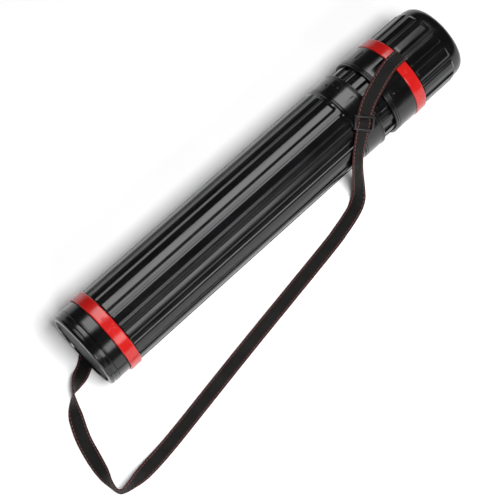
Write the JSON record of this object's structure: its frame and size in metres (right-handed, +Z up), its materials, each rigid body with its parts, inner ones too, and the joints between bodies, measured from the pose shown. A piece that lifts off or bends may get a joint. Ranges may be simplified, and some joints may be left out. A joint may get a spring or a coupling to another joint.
{
  "type": "drawing tube",
  "caption": "Telescopic ribbed plastic drawing tube with a screw lid, twist-lock collar, red strap rings and a webbing carrying strap with a slider.",
  "frame": {"origin": "on the floor under the middle of the closed tube, which lies on its two strap rings", "axes": "+X along the tube from the base to the lid, +Z up, and the strap lies on the -Y side"},
  "size_m": [0.5413, 0.1689, 0.0912],
  "materials": {
    "black_plastic": "satin-gloss moulded polyethylene",
    "red_plastic": "glossy moulded plastic",
    "seal_rubber": "matt rubber",
    "strap_webbing": "ribbed polypropylene webbing with a red thread along each edge",
    "buckle_plastic": "satin moulded plastic"
  },
  "bodies": {
    "barrel": {"outer_barrel": "black_plastic", "base_cap": "black_plastic", "strap_lower": "strap_webbing"},
    "lower_ring": {"lower_strap_ring": "red_plastic"},
    "collar": {"lock_collar": "black_plastic"},
    "inner": {"inner_tube": "black_plastic", "guide_ring": "black_plastic", "stop_ring": "black_plastic", "tube_head": "black_plastic", "strap_upper": "strap_webbing", "strap_slider": "buckle_plastic"},
    "upper_ring": {"upper_strap_ring": "red_plastic"},
    "seal": {"neck_seal": "seal_rubber"},
    "lid": {"lid": "black_plastic"}
  },
  "joints": [
    {"name": "lower_ring_swivel", "type": "hinge", "parent": "barrel", "child": "lower_ring", "pos_m": [-0.2075, 0, 0.04409], "axis": [1, 0, 0], "continuous": true},
    {"name": "collar_lock", "type": "hinge", "parent": "barrel", "child": "collar", "pos_m": [0.1125, 0, 0.04409], "axis": [1, 0, 0], "range_deg": [0, 12]},
    {"name": "tube_extend", "type": "slide", "parent": "barrel", "child": "inner", "axis": [1, 0, 0], "range_m": [0, 0.27]},
    {"name": "upper_ring_swivel", "type": "hinge", "parent": "inner", "child": "upper_ring", "pos_m": [0.1737, 0, 0.04409], "axis": [1, 0, 0], "continuous": true},
    {"name": "lid_turn", "type": "hinge", "parent": "inner", "child": "seal", "pos_m": [0.185, 0, 0.04409], "axis": [1, 0, 0], "range_deg": [0, 810]},
    {"name": "lid_rise", "type": "slide", "parent": "seal", "child": "lid", "axis": [1, 0, 0], "range_m": [0, 0.0406]}
  ],
  "couplings": [
    {"joint": "lid_rise", "follows": "lid_turn", "m_per_rad": 0.0028648}
  ]
}
